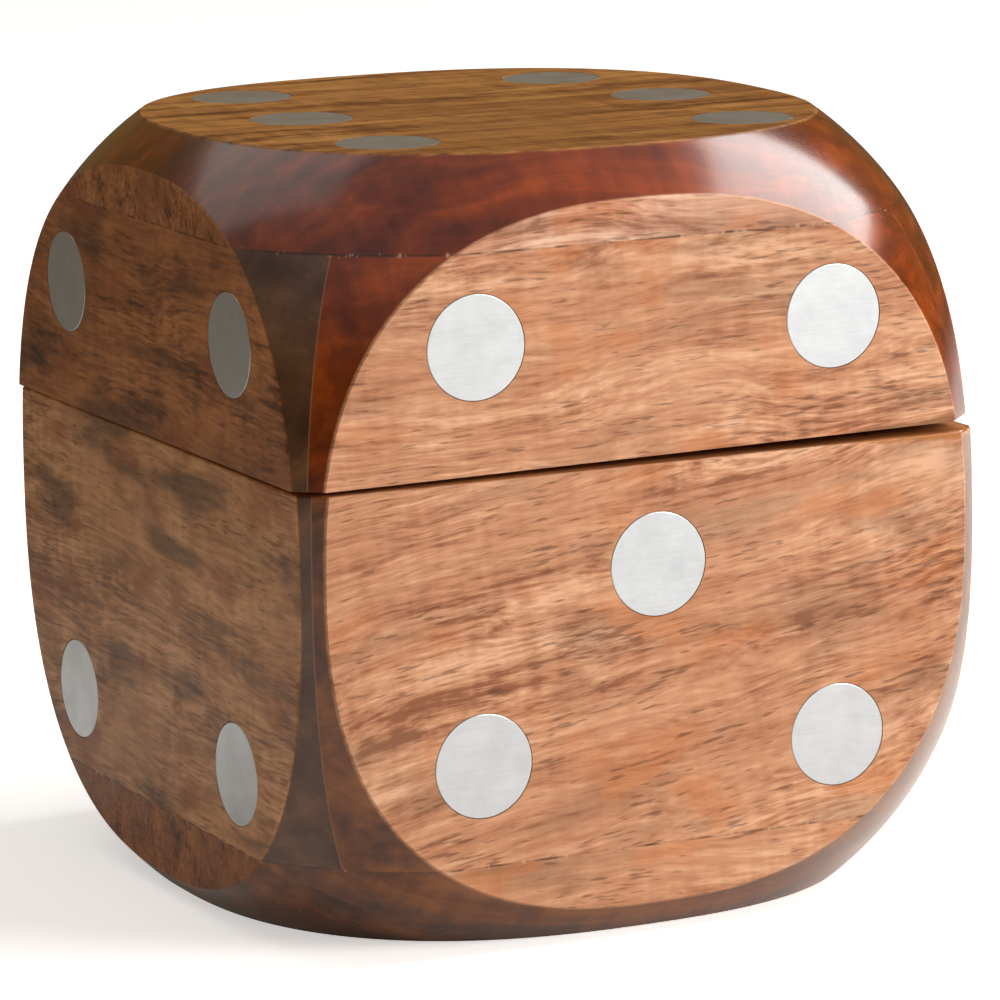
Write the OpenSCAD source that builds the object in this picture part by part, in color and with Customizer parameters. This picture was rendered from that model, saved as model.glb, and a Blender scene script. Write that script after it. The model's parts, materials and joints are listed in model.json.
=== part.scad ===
// Die-shaped wooden box with a lid hinged at the back and inlaid metal pips.
// The front face looks along -Y, the top is +Z, and z = 0 is the surface the box stands on.
// Four mitred walls are glued between a bottom and a top board, shaped into a die,
// and then sawn apart at the seam into the base and the lid.

/* [Box] */
// Width over the flat faces
box_width = 90; // [80:1:100]
// Depth over the flat faces
box_depth = 92; // [82:1:102]
// Height over the flat faces
box_height = 94.5; // [85:0.5:105]
// Height of the base's rim above the bottom
seam_height = 57.2; // [50:0.1:64]
// Thickness of the four walls
wall_thick = 10.5; // [9:0.5:12]
// Thickness of the top board
top_board_thick = 10.5; // [9:0.5:12]
// Thickness of the bottom board
bottom_board_thick = 10.9; // [9:0.1:12]

/* [Shaping] */
// Radius of the ball that the corners are turned to
ball_radius = 65; // [64:0.1:67]
// Height of the ball's centre above the bottom
ball_height = 46.3; // [45:0.1:48]
// Radius of the barrels that the edges are turned to, at their middle
barrel_radius = 62.7; // [62:0.1:63.5]
// Radius of the barrels' bowed sides
barrel_bow = 82; // [76:1:120]

/* [Seam] */
// Gap between the rims at the back left corner, where it is least
seam_gap = 0.2; // [0.1:0.05:0.4]
// How much wider the gap is at the right than at the left
seam_gap_right = 0.8; // [0:0.05:0.9]
// How much wider the gap is at the front than at the back
seam_gap_front = 0.3; // [0:0.05:0.6]
// How far the lid sits to the left of the base
lid_offset = 0.5; // [0:0.05:0.6]

/* [Pips] */
// Diameter of an inlaid pip
pip_d = 12.7; // [10:0.1:13]
// Depth of an inlaid pip in the wood
pip_depth = 4; // [3:0.5:6]
// Distance of the outer pips from a face's middle, across the face
pip_spread = 23.9; // [22:0.1:25]
// Height of the lower row of pips
pip_low = 21.5; // [20:0.1:24]
// Height of the middle pip
pip_middle = 45; // [43:0.1:49]
// Distance of the upper row of pips from the top
pip_below_top = 21.7; // [20:0.1:23]
// How far holes that are drilled by eye stray from the grid
pip_drift = 1; // [0:0.1:1.2]

/* [Hinges] */
// Length of a hinge's leaves
hinge_length = 20; // [16:1:24]
// Distance of each hinge from the middle
hinge_spread = 21; // [16:1:24]
// Thickness of a leaf
leaf_thick = 0.9; // [0.7:0.1:1.2]
// Depth of a leaf across the rim
leaf_depth = 7; // [6:0.5:8]
// Outer diameter of the knuckles
knuckle_d = 3.6; // [3.2:0.1:4.2]
// Diameter of the hinge pin
hinge_pin_d = 1.8; // [1.6:0.1:2]
// Diameter of the nails' heads
nail_head_d = 2.6; // [2:0.1:3]
// Length of the nails
nail_length = 7; // [5:0.5:9]

/* [Fits] */
// Radial clearance of the hinge pin in the knuckles that turn on it
pin_clearance = 0.05; // [0.03:0.01:0.08]
// Gap between neighbouring knuckles
knuckle_gap = 0.2; // [0.15:0.05:0.4]
// Gap between the closed leaves
leaf_gap = 0.4; // [0.3:0.05:0.6]

/* [Hidden] */
$fn = 96;

half_width = box_width / 2;
half_depth = box_depth / 2;
floor_z = bottom_board_thick;
ceiling_z = box_height - top_board_thick;
far = 2 * box_width;
barrel_length = 1.2 * box_height;
pip_high = box_height - pip_below_top;

// The pin's axis stands one knuckle radius behind the back face, midway between the closed leaves.
pin_y = half_depth + knuckle_d / 2;
pin_z = seam_height;
hinge_places = [-hinge_spread, hinge_spread];
leaf_front_y = half_depth - leaf_depth;
leaf_low_z = seam_height - leaf_gap / 2;
leaf_high_z = seam_height + leaf_gap / 2;

// Five knuckles share the hinge's length: three on the base leaf and two on the lid leaf.
knuckle_count = 5;
knuckle_pitch = hinge_length / knuckle_count;
pin_head_d = 1.45 * hinge_pin_d;
pin_head_thick = hinge_pin_d / 3;
nail_shank_d = nail_head_d / 2;
nail_margin = 3.5;
mortise_overcut = 1;
// The leaf's plate stops short of the back face, and webs carry it to the knuckles.
leaf_setback = 0.4;
web_overlap = 0.6;
nail_spread = hinge_length / 2 - nail_margin;
nail_head_thick = leaf_thick / 2;
nail_y = half_depth - leaf_depth / 2;

wood = "#A9704B";
dark_wood = "#7C4526";
metal = "#DCDCDA";
brass = "#C79F4F";

// A barrel along Z about the middle, longer than the box.
module barrel() {
    rotate_extrude($fn = 180) intersection() {
        translate([barrel_radius - barrel_bow, 0]) circle(r = barrel_bow, $fn = 240);
        translate([0, -barrel_length / 2]) square([barrel_bow, barrel_length]);
    }
}

// The die: a block cut by one barrel along each of its directions, which rounds the edges, and
// by the ball that makes the corners.
module die_form() {
    intersection() {
        translate([-half_width, -half_depth, 0]) cube([box_width, box_depth, box_height]);
        translate([0, 0, ball_height]) intersection() {
            barrel();
            rotate([90, 0, 0]) barrel();
            rotate([0, 90, 0]) barrel();
            sphere(r = ball_radius, $fn = 180);
        }
    }
}

// Half the length of a side's wall and how far its outer face stands from the middle. The
// sides are counted in quarter turns from the front.
function half_length(quarters) = quarters % 2 == 0 ? half_width : half_depth;
function face_distance(quarters) = quarters % 2 == 0 ? half_depth : half_width;

// Turns a shape made for the front face (-Y) to another side.
module on_side(quarters) {
    rotate([0, 0, 90 * quarters]) children();
}

// One mitred wall between two heights, before the die's form is cut.
module wall_blank(quarters, low, high) {
    reach = half_length(quarters);
    out = face_distance(quarters);
    inner_reach = reach - wall_thick;
    inner_out = out - wall_thick;
    on_side(quarters) translate([0, 0, low]) linear_extrude(high - low)
        polygon([[-reach, -out], [reach, -out], [inner_reach, -inner_out], [-inner_reach, -inner_out]]);
}

// A side's pips, their outer ends flush with its face.
module side_pips(quarters, places) {
    on_side(quarters) for (p = places)
        translate([p[0], pip_depth - face_distance(quarters), p[1]]) rotate([90, 0, 0])
            cylinder(d = pip_d, h = pip_depth);
}

module flat_pips(places, low) {
    for (p = places) translate([p[0], p[1], low]) cylinder(d = pip_d, h = pip_depth);
}

// A pip's place on its face: the column and row of the grid, and how far it strays from them.
function pip_place(column, row, stray) = [column, row] + pip_drift * stray;

front_low = [
    pip_place(-pip_spread, pip_low, [1.2, 1.6]),
    pip_place(pip_spread, pip_low, [0.8, 0]),
    pip_place(0, pip_middle, [0.6, 0])
];
front_high = [
    pip_place(-pip_spread, pip_high, [1.5, 0.2]),
    pip_place(pip_spread, pip_high, [1, 0])
];
left_low = [
    pip_place(-pip_spread, pip_low, [-2.4, -0.8]),
    pip_place(pip_spread, pip_low, [0, -1.4])
];
left_high = [
    pip_place(-pip_spread, pip_high, [-1.6, 0.3]),
    pip_place(pip_spread, pip_high, [2.1, -0.4])
];
right_low = [[pip_spread, pip_low], [0, pip_middle]];
right_high = [[-pip_spread, pip_high]];
back_low = [[pip_spread, pip_low]];
back_high = [[-pip_spread, pip_high]];
top_places = [
    pip_place(-pip_spread, -pip_spread, [1, 0.5]),
    pip_place(-pip_spread, 0, [1.5, 2.7]),
    pip_place(-pip_spread, pip_spread, [3.8, 2.6]),
    pip_place(pip_spread, -pip_spread, [-0.2, -1.6]),
    pip_place(pip_spread, 0, [2, 0.3]),
    pip_place(pip_spread, pip_spread, [-2, -0.7])
];

// Everything above the lid's sawn rim, which runs slightly out of level with the base's.
module above_seam() {
    lift = seam_gap + (seam_gap_right + seam_gap_front) / 2;
    translate([0, 0, seam_height + lift])
        rotate([-atan(seam_gap_front / box_depth), -atan(seam_gap_right / box_width), 0])
            translate([-far, -far, 0]) cube([2 * far, 2 * far, far]);
}

// The lid's own place: it sits a little to the left on the base.
module lid_place() {
    translate([-lid_offset, 0, 0]) children();
}

// Room cut in a rim for the hinges' leaves, open at the back.
module leaf_mortises(low, high) {
    for (x = hinge_places) translate([x - hinge_length / 2, leaf_front_y, low])
        cube([hinge_length, leaf_depth + mortise_overcut, high - low]);
}

module nail_holes(low) {
    for (x = hinge_places, s = [-1, 1]) translate([x + s * nail_spread, nail_y, low])
        cylinder(d = nail_shank_d, h = nail_length);
}

// A base wall with its pip recesses and, at the back, the leaves' mortises and nail holes.
module base_wall(quarters, places) {
    difference() {
        intersection() {
            die_form();
            wall_blank(quarters, floor_z, seam_height);
        }
        side_pips(quarters, places);
        if (quarters == 2) {
            leaf_mortises(leaf_low_z - leaf_thick, seam_height + mortise_overcut);
            nail_holes(leaf_low_z - nail_length);
        }
    }
}

// A lid wall, the same way.
module lid_wall(quarters, places) {
    difference() {
        intersection() {
            lid_place() die_form();
            lid_place() wall_blank(quarters, seam_height, ceiling_z);
            above_seam();
        }
        lid_place() side_pips(quarters, places);
        if (quarters == 2) {
            leaf_mortises(seam_height - mortise_overcut, leaf_high_z + leaf_thick);
            nail_holes(leaf_high_z);
        }
    }
}

module base_bottom_board() {
    color(dark_wood) difference() {
        intersection() {
            die_form();
            translate([-half_width, -half_depth, 0]) cube([box_width, box_depth, floor_z]);
        }
        flat_pips([[0, 0]], 0);
    }
}

module base_front_wall() {
    color(wood) base_wall(0, front_low);
}

module base_right_wall() {
    color(wood) base_wall(1, right_low);
}

module base_back_wall() {
    color(wood) base_wall(2, back_low);
}

module base_left_wall() {
    color(wood) base_wall(3, left_low);
}

module lid_top_board() {
    color(dark_wood) difference() {
        intersection() {
            lid_place() die_form();
            lid_place() translate([-half_width, -half_depth, ceiling_z])
                cube([box_width, box_depth, top_board_thick]);
        }
        lid_place() flat_pips(top_places, box_height - pip_depth);
    }
}

module lid_front_wall() {
    color(wood) lid_wall(0, front_high);
}

module lid_right_wall() {
    color(wood) lid_wall(1, right_high);
}

module lid_back_wall() {
    color(wood) lid_wall(2, back_high);
}

module lid_left_wall() {
    color(wood) lid_wall(3, left_high);
}

module front_lower_pips() {
    color(metal) side_pips(0, front_low);
}

module right_lower_pips() {
    color(metal) side_pips(1, right_low);
}

module back_lower_pip() {
    color(metal) side_pips(2, back_low);
}

module left_lower_pips() {
    color(metal) side_pips(3, left_low);
}

module bottom_pip() {
    color(metal) flat_pips([[0, 0]], 0);
}

module front_upper_pips() {
    color(metal) lid_place() side_pips(0, front_high);
}

module right_upper_pips() {
    color(metal) lid_place() side_pips(1, right_high);
}

module back_upper_pip() {
    color(metal) lid_place() side_pips(2, back_high);
}

module left_upper_pips() {
    color(metal) lid_place() side_pips(3, left_high);
}

module top_pips() {
    color(metal) lid_place() flat_pips(top_places, box_height - pip_depth);
}

// A cylinder along X whose left end is at x, on the pin's axis.
module along_pin(x, d, length) {
    translate([x, pin_y, pin_z]) rotate([0, 90, 0]) cylinder(d = d, h = length);
}

// The knuckles numbered in the list, joined to the leaf by a tangent web.
module knuckles(x, numbers, web_low) {
    for (i = numbers) {
        left = x - hinge_length / 2 + i * knuckle_pitch + knuckle_gap / 2;
        along_pin(left, knuckle_d, knuckle_pitch - knuckle_gap);
        translate([left, half_depth - leaf_setback - web_overlap, web_low])
            cube([knuckle_pitch - knuckle_gap, knuckle_d / 2 + leaf_setback + web_overlap, leaf_thick]);
    }
}

// Both hinges' leaves on one side, bored for the pin and the nails.
module leaves(numbers, low, bore_d, nail_top, nail_bottom) {
    for (x = hinge_places) difference() {
        union() {
            translate([x - hinge_length / 2, leaf_front_y, low])
                cube([hinge_length, leaf_depth - leaf_setback, leaf_thick]);
            knuckles(x, numbers, low);
        }
        along_pin(x - hinge_length, bore_d, 2 * hinge_length);
        for (s = [-1, 1]) translate([x + s * nail_spread, nail_y, 0]) {
            translate([0, 0, nail_top]) cylinder(d = nail_head_d, h = nail_head_thick);
            translate([0, 0, nail_bottom]) cylinder(d = nail_shank_d, h = 2 * leaf_thick);
        }
    }
}

module hinge_base_leaves() {
    color(brass) leaves([0, 2, 4], leaf_low_z - leaf_thick, hinge_pin_d,
        leaf_low_z - nail_head_thick, leaf_low_z - 2 * leaf_thick);
}

module hinge_lid_leaves() {
    color(brass) leaves([1, 3], leaf_high_z, hinge_pin_d + 2 * pin_clearance,
        leaf_high_z, leaf_high_z);
}

// The pins are held by the base leaves' knuckles and peened over at both ends.
module hinge_pins() {
    color(brass) for (x = hinge_places) {
        along_pin(x - hinge_length / 2, hinge_pin_d, hinge_length);
        along_pin(x - hinge_length / 2 - pin_head_thick + knuckle_gap / 2, pin_head_d, pin_head_thick);
        along_pin(x + hinge_length / 2 - knuckle_gap / 2, pin_head_d, pin_head_thick);
    }
}

module base_leaf_nails() {
    color(brass) for (x = hinge_places, s = [-1, 1]) translate([x + s * nail_spread, nail_y, 0]) {
        translate([0, 0, leaf_low_z - nail_head_thick]) cylinder(d = nail_head_d, h = nail_head_thick);
        translate([0, 0, leaf_low_z - nail_length]) cylinder(d = nail_shank_d, h = nail_length - nail_head_thick);
    }
}

module lid_leaf_nails() {
    color(brass) for (x = hinge_places, s = [-1, 1]) translate([x + s * nail_spread, nail_y, 0]) {
        translate([0, 0, leaf_high_z]) cylinder(d = nail_head_d, h = nail_head_thick);
        translate([0, 0, leaf_high_z + nail_head_thick])
            cylinder(d = nail_shank_d, h = nail_length - nail_head_thick);
    }
}

base_bottom_board();
base_front_wall();
base_back_wall();
base_left_wall();
base_right_wall();
lid_top_board();
lid_front_wall();
lid_back_wall();
lid_left_wall();
lid_right_wall();
front_lower_pips();
left_lower_pips();
right_lower_pips();
back_lower_pip();
bottom_pip();
front_upper_pips();
left_upper_pips();
right_upper_pips();
back_upper_pip();
top_pips();
hinge_base_leaves();
hinge_lid_leaves();
hinge_pins();
base_leaf_nails();
lid_leaf_nails();
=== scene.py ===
"""Looks of a die-shaped wooden box with inlaid metal pips and a lid hinged at the back.

The box is modelled as it is made: one die-shaped blank, sawn at the seam into a base and
a lid, each parted into its boards, with the pips let in flush and two small brass hinges.
Everything is in metres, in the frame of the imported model.
"""

import json
import logging
import math
from dataclasses import dataclass
from enum import Enum

import bmesh
import bpy
from mathutils import Matrix, Vector


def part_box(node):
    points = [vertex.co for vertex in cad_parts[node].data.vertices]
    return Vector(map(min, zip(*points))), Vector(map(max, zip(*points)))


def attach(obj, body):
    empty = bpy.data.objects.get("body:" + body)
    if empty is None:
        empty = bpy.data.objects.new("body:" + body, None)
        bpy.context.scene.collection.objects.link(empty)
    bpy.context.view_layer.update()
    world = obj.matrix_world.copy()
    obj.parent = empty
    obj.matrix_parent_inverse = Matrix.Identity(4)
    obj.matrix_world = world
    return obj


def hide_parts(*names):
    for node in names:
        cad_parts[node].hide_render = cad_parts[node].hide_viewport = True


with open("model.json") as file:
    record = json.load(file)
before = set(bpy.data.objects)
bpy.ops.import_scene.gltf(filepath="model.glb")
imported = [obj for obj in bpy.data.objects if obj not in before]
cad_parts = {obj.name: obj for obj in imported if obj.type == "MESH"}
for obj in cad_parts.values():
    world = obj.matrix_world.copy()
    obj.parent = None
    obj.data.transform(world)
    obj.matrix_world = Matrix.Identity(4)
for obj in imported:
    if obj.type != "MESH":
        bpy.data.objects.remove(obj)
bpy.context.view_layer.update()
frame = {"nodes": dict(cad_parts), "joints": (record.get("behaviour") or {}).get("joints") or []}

log = logging.getLogger("dice_box")
MM = 0.001
TOUCHING = 0.002 * MM
NEAR = 0.02 * MM
SLIVER = 0.004 * MM
PAST_FACE = 2 * MM
PAST_RIM = 1 * MM
Socket = bpy.types.NodeSocket


class Face(Enum):
    """The six faces of the die, by the direction that each looks in."""

    FRONT = (0.0, -1.0, 0.0)
    RIGHT = (1.0, 0.0, 0.0)
    BACK = (0.0, 1.0, 0.0)
    LEFT = (-1.0, 0.0, 0.0)
    TOP = (0.0, 0.0, 1.0)
    BOTTOM = (0.0, 0.0, -1.0)

    @property
    def outward(self) -> Vector:
        """The face's outward normal."""
        return Vector(self.value)

    @property
    def along(self) -> Vector:
        """The level direction that runs along an upright face."""
        return Vector((-self.value[1], self.value[0], 0.0))

    @property
    def upright(self) -> bool:
        """Whether the face is one of the four walls'."""
        return self.value[2] == 0.0


class Grain(Enum):
    """Which way a board's grain runs, as the turn about Z that brings it onto X."""

    ALONG_X = 0.0
    ALONG_Y = -90.0


def linear(code: str) -> tuple[float, float, float, float]:
    """Turn a colour code as seen on screen into a shader's linear colour.

    Args:
        code: Six hexadecimal digits, two each for red, green and blue.

    Returns:
        The colour as red, green, blue and an alpha of one.
    """
    parts = [int(code[i:i + 2], 16) / 255 for i in (0, 2, 4)]
    red, green, blue = [p / 12.92 if p <= 0.04045 else ((p + 0.055) / 1.055) ** 2.4 for p in parts]
    return (red, green, blue, 1.0)


class Graph:
    """A material's nodes, with short names for the ones that the finishes use."""

    def __init__(self, name: str) -> None:
        """Start an empty material.

        Args:
            name: The material's name.
        """
        self.material = bpy.data.materials.new(name)
        self.material.use_nodes = True
        self.tree = self.material.node_tree
        self.tree.nodes.clear()

    def node(self, kind: str, inputs: dict[str | int, object] | None = None,
             **settings: object) -> bpy.types.Node:
        """Add a node, set its options and feed its inputs.

        Args:
            kind: The node's type, without the ShaderNode prefix.
            inputs: What goes into each input, by its name or number.
            **settings: Attributes to set on the node.

        Returns:
            The new node.
        """
        made = self.tree.nodes.new("ShaderNode" + kind)
        for key, value in settings.items():
            setattr(made, key, value)
        for key, value in (inputs or {}).items():
            self.feed(made.inputs[key], value)
        return made

    def feed(self, socket: Socket, value: object) -> None:
        """Link a socket into an input, or set the input to a constant.

        Args:
            socket: The input.
            value: Another node's output, or a number, vector or colour, or None to leave it.
        """
        if isinstance(value, bpy.types.NodeSocket):
            self.tree.links.new(value, socket)
        elif value is not None:
            socket.default_value = value

    def position(self) -> Socket:
        """Read the point on the piece, in millimetres of the object's own frame."""
        place = self.node("TexCoord").outputs["Object"]
        return self.node("VectorMath", {0: place, "Scale": 1 / MM}, operation="SCALE").outputs[0]

    def vector(self, operation: str, a: object, b: object = None) -> bpy.types.Node:
        """Add a vector operation on one or two operands."""
        return self.node("VectorMath", {0: a, 1: b}, operation=operation)

    def math(self, operation: str, a: object, b: object = None) -> Socket:
        """Add a number operation on one or two operands."""
        return self.node("Math", {0: a, 1: b}, operation=operation).outputs[0]

    def swing(self, pattern: Socket, share: object) -> Socket:
        """Scale how far a pattern swings from a half."""
        return self.math("MULTIPLY", self.math("SUBTRACT", pattern, 0.5), share)

    def split(self, vector: Socket) -> tuple[Socket, Socket, Socket]:
        """Take a vector apart into its three components."""
        return tuple(self.node("SeparateXYZ", {0: vector}).outputs)

    def place(self, vector: Socket, turn: tuple[float, float, float] = (0, 0, 0),
              scale: tuple[float, float, float] = (1, 1, 1),
              shift: tuple[float, float, float] = (0, 0, 0)) -> Socket:
        """Scale, turn and then shift a vector.

        Args:
            vector: The vector.
            turn: Turn about each axis, in degrees.
            scale: Scale along each axis, taken before the turn.
            shift: Shift along each axis.

        Returns:
            The placed vector.
        """
        turned = [math.radians(t) for t in turn]
        inputs = {"Vector": vector, "Rotation": turned, "Scale": scale, "Location": shift}
        return self.node("Mapping", inputs).outputs[0]

    def noise(self, vector: Socket, detail: float = 3.0, roughness: float = 0.5,
              distortion: float = 0.0) -> Socket:
        """Add a noise pattern of about one lump per unit.

        Args:
            vector: Where the pattern is read.
            detail: How many finer layers it has.
            roughness: How strong the finer layers are.
            distortion: How much it is pulled about.

        Returns:
            The pattern, from zero to one.
        """
        inputs = {"Vector": vector, "Scale": 1.0, "Detail": detail, "Roughness": roughness,
                  "Distortion": distortion}
        return self.node("TexNoise", inputs).outputs[0]

    def step(self, value: Socket, low: float, high: float, start: float = 0.0,
             end: float = 1.0) -> Socket:
        """Pass smoothly from one value to another as an input rises.

        Args:
            value: The input.
            low: Where the passage begins.
            high: Where it ends.
            start: The result at and below its beginning.
            end: The result at and above its end.

        Returns:
            The result.
        """
        inputs = {"Value": value, "From Min": low, "From Max": high, "To Min": start,
                  "To Max": end}
        return self.node("MapRange", inputs, interpolation_type="SMOOTHSTEP",
                         clamp=True).outputs[0]

    def ramp(self, value: Socket, stops: list[tuple[float, str]]) -> Socket:
        """Colour a value.

        Args:
            value: The input.
            stops: Places from zero to one, each with its colour code.

        Returns:
            The colour.
        """
        made = self.node("ValToRGB", {0: value})
        elements = made.color_ramp.elements
        while len(elements) < len(stops):
            elements.new(0.5)
        for element, (place, code) in zip(elements, stops):
            element.position = place
            element.color = linear(code)
        return made.outputs[0]

    def mix(self, share: object, a: object, b: object) -> Socket:
        """Mix two colours.

        Args:
            share: How much of the second one.
            a: The first colour.
            b: The second colour.

        Returns:
            The mixed colour.
        """
        inputs = {"Factor": share, 6: a, 7: b}
        return self.node("Mix", inputs, data_type="RGBA", clamp_result=True).outputs[2]

    def bump(self, height: Socket, depth: float, strength: object = 1.0,
             under: Socket | None = None) -> Socket:
        """Turn a height pattern into a bumped normal.

        Args:
            height: The pattern, from zero to one.
            depth: The real height between zero and one, in metres.
            strength: How much of it is seen.
            under: A normal that this one lies on.

        Returns:
            The normal.
        """
        inputs = {"Height": height, "Distance": depth, "Strength": strength, "Normal": under}
        return self.node("Bump", inputs).outputs[0]

    def finish(self, colour: Socket, roughness: object, normal: Socket, coat: object = 0.0,
               **fixed: float) -> bpy.types.Material:
        """End the material with one physically based surface.

        Args:
            colour: The base colour.
            roughness: The roughness, a pattern or a number.
            normal: The bumped normal.
            coat: How thick the clear polish is, a pattern or a number.
            **fixed: Other inputs of the surface that are the same all over.

        Returns:
            The material.
        """
        inputs = {"Base Color": colour, "Roughness": roughness, "Normal": normal,
                  "Coat Weight": coat}
        inputs.update({key.replace("_", " "): value for key, value in fixed.items()})
        shader = self.node("BsdfPrincipled", inputs)
        self.node("OutputMaterial", {0: shader.outputs[0]})
        return self.material


@dataclass(frozen=True)
class DieForm:
    """The sizes that the blank and all its boards share, in metres."""

    width: float
    depth: float
    height: float
    floor: float
    ceiling: float
    seam: float
    wall: float
    heart_height: float = 46.3 * MM
    swell: float = 58.65 * MM
    squareness: float = 2.47
    gap: float = 0.2 * MM
    gap_right: float = 0.8 * MM
    gap_front: float = 0.3 * MM
    lid_shift: float = -0.5 * MM
    hinge_length: float = 20 * MM
    hinge_spread: float = 21 * MM
    leaf_thick: float = 0.9 * MM
    leaf_gap: float = 0.4 * MM
    arris: float = 0.35 * MM

    @classmethod
    def of_frame(cls) -> "DieForm":
        """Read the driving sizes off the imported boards.

        Returns:
            The sizes.
        """
        board_low, board_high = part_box("base_bottom_board")
        top_low, top_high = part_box("lid_top_board")
        wall_low, wall_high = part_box("base_front_wall")
        return cls(width=board_high[0] - board_low[0], depth=board_high[1] - board_low[1],
                   height=top_high[2], floor=board_high[2], ceiling=top_low[2], seam=wall_high[2],
                   wall=wall_high[1] - wall_low[1])

    @property
    def heart(self) -> Vector:
        """The middle of the swelling form that makes the corners."""
        return Vector((0, 0, self.heart_height))

    @property
    def reaches(self) -> tuple[float, float]:
        """How far the flats stand from the middle, across and along."""
        return (self.width / 2, self.depth / 2)

    @property
    def lid_rim_normal(self) -> Vector:
        """The upward normal of the lid's sawn rim, slightly out of level."""
        return Vector((-self.gap_right / self.width, self.gap_front / self.depth, 1.0)).normalized()

    @property
    def lid_rim_point(self) -> Vector:
        """The middle of the lid's sawn rim."""
        return Vector((0, 0, self.seam + self.gap + (self.gap_right + self.gap_front) / 2))

    def distance(self, face: Face) -> float:
        """How far a face stands from the heart of the die.

        Args:
            face: The face.

        Returns:
            The distance.
        """
        if face is Face.TOP:
            return self.height - self.heart_height
        if face is Face.BOTTOM:
            return self.heart_height
        return self.reaches[0] if face.value[0] else self.reaches[1]


def pick(obj: bpy.types.Object) -> None:
    """Select one object alone and make it active.

    Args:
        obj: The object.
    """
    bpy.ops.object.select_all(action="DESELECT")
    obj.select_set(True)
    bpy.context.view_layer.objects.active = obj


def twin(obj: bpy.types.Object, name: str) -> bpy.types.Object:
    """Copy an object with its own mesh.

    Args:
        obj: The object.
        name: The copy's name.

    Returns:
        The copy, alone selected.
    """
    made = obj.copy()
    made.data = obj.data.copy()
    made.name = name
    made.data.name = name
    bpy.context.scene.collection.objects.link(made)
    pick(made)
    return made


def cad_copy(node: str, name: str) -> bpy.types.Object:
    """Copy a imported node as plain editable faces.

    Args:
        node: The node's name.
        name: The copy's name.

    Returns:
        The copy with its doubles merged, at the world's origin.
    """
    source = frame["nodes"][node]
    made = bpy.data.objects.new(name, source.data.copy())
    made.data.transform(source.matrix_world)
    made.data.materials.clear()
    bpy.context.scene.collection.objects.link(made)
    pick(made)
    bpy.ops.object.mode_set(mode="EDIT")
    bpy.ops.mesh.select_all(action="SELECT")
    bpy.ops.mesh.remove_doubles(threshold=TOUCHING)
    bpy.ops.mesh.dissolve_limited(angle_limit=math.radians(0.5))
    bpy.ops.mesh.normals_make_consistent(inside=False)
    bpy.ops.object.mode_set(mode="OBJECT")
    return made


def apply_modifier(obj: bpy.types.Object, kind: str, **settings: object) -> None:
    """Add a modifier, set it and apply it.

    Args:
        obj: The object.
        kind: The modifier's type.
        **settings: Attributes to set on it.
    """
    pick(obj)
    made = obj.modifiers.new(kind.title(), kind)
    for key, value in settings.items():
        setattr(made, key, value)
    bpy.ops.object.modifier_apply(modifier=made.name)


def carve(obj: bpy.types.Object, tool: bpy.types.Object, operation: str = "DIFFERENCE") -> None:
    """Cut an object with a tool and throw the tool away.

    Args:
        obj: The object.
        tool: The tool.
        operation: The kind of cut.
    """
    apply_modifier(obj, "BOOLEAN", object=tool, operation=operation, solver="MANIFOLD")
    bpy.data.objects.remove(tool)


def saw(obj: bpy.types.Object, point: Vector, keep: Vector) -> None:
    """Saw an object flat and close the cut.

    Args:
        obj: The object.
        point: A point of the cut.
        keep: The normal of the cut, towards what stays.
    """
    pick(obj)
    bpy.ops.object.mode_set(mode="EDIT")
    bpy.ops.mesh.select_all(action="SELECT")
    bpy.ops.mesh.bisect(plane_co=point, plane_no=keep, use_fill=True, clear_inner=True,
                        threshold=TOUCHING / 2)
    bpy.ops.object.mode_set(mode="OBJECT")


def ease(obj: bpy.types.Object, point: Vector, normal: Vector, width: float) -> None:
    """Round the sharp edges that lie in one plane.

    Args:
        obj: The object.
        point: A point of the plane.
        normal: The plane's normal.
        width: How far the rounding reaches.
    """
    pick(obj)
    bpy.ops.object.mode_set(mode="EDIT")
    shape = bmesh.from_edit_mesh(obj.data)
    short = {}
    for edge in shape.edges:
        low, high = sorted(edge.verts, key=lambda v: abs((v.co - point).dot(normal)))
        heights = [abs((v.co - point).dot(normal)) for v in (low, high)]
        if heights[0] < TOUCHING < heights[1] and edge.calc_length() < 1.5 * width:
            short[high] = low
    bmesh.ops.weld_verts(shape, targetmap=short)
    for face in shape.faces:
        face.select = False
    for edge in shape.edges:
        edge.select = all(abs((v.co - point).dot(normal)) < TOUCHING for v in edge.verts)
    shape.select_flush_mode()
    bmesh.update_edit_mesh(obj.data)
    bpy.ops.mesh.bevel(offset=width, offset_type="OFFSET", segments=3, profile=0.5,
                       affect="EDGES")
    bpy.ops.object.mode_set(mode="OBJECT")


def smooth(obj: bpy.types.Object, angle: float = 24.0) -> None:
    """Shade the curves smooth, keep the creases and keep the flats flat.

    Args:
        obj: The object.
        angle: The least angle of a crease, in degrees.
    """
    pick(obj)
    bpy.ops.object.mode_set(mode="EDIT")
    bpy.ops.mesh.select_all(action="SELECT")
    bpy.ops.mesh.dissolve_degenerate(threshold=SLIVER)
    bpy.ops.object.mode_set(mode="OBJECT")
    bpy.ops.object.shade_smooth_by_angle(angle=math.radians(angle))
    apply_modifier(obj, "WEIGHTED_NORMAL", keep_sharp=True, weight=100)


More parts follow.
